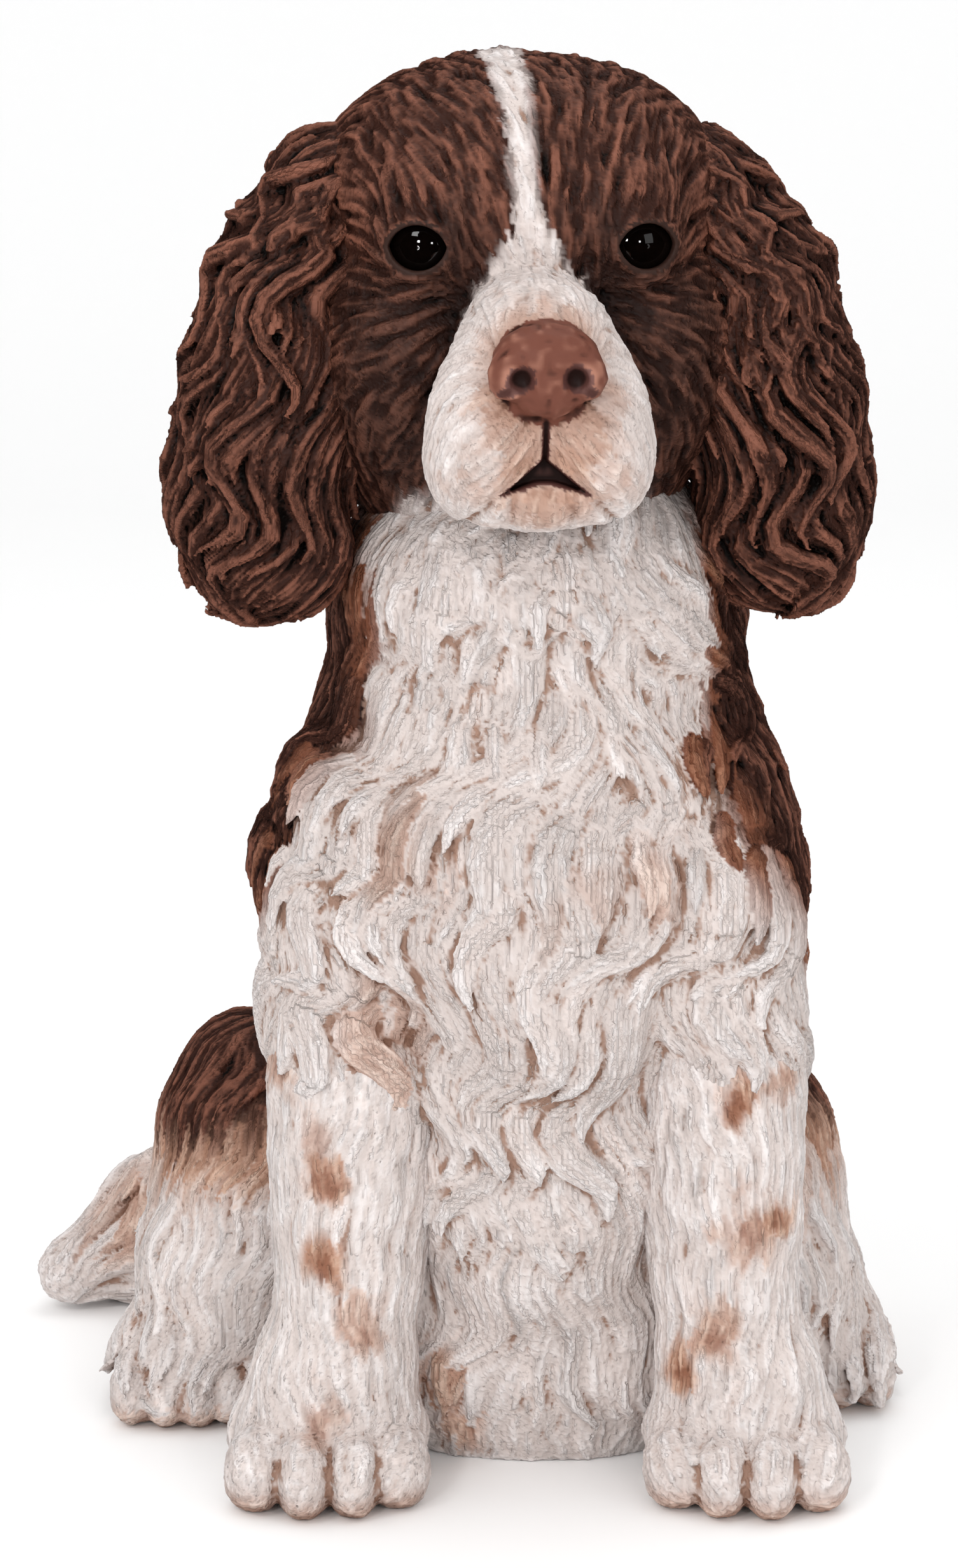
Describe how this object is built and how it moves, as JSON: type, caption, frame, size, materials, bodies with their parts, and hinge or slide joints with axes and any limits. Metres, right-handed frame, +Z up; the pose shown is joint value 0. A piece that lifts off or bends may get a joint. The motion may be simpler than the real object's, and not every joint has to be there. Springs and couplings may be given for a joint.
{
  "type": "dog figurine",
  "caption": "Sitting long-haired spaniel puppy figurine, built from cast pieces with glass eyes, standing on a flat underside.",
  "frame": {"origin": "on the flat underside, on the body's middle plane, between the forelegs and the drain hole", "axes": "+Z up, the dog faces -Y, the dog's own left is +X"},
  "size_m": [0.1907, 0.2155, 0.2975],
  "materials": {
    "painted_body": "matt, painted, with a dark wash in the grooves",
    "painted_head": "matt, painted liver brown with a white blaze and muzzle",
    "painted_ears": "matt, painted liver brown with dry-brushed copper ridges",
    "painted_legs": "matt, painted white with small liver spots",
    "painted_tail": "matt, painted white with a pale brown patch",
    "black_glass": "polished"
  },
  "bodies": {
    "root": {"torso": "painted_body", "head": "painted_head", "ear_left": "painted_ears", "ear_right": "painted_ears", "foreleg_left": "painted_legs", "foreleg_right": "painted_legs", "hind_leg_left": "painted_legs", "hind_leg_right": "painted_legs", "tail": "painted_tail", "eye_left": "black_glass", "eye_right": "black_glass"}
  },
  "joints": []
}
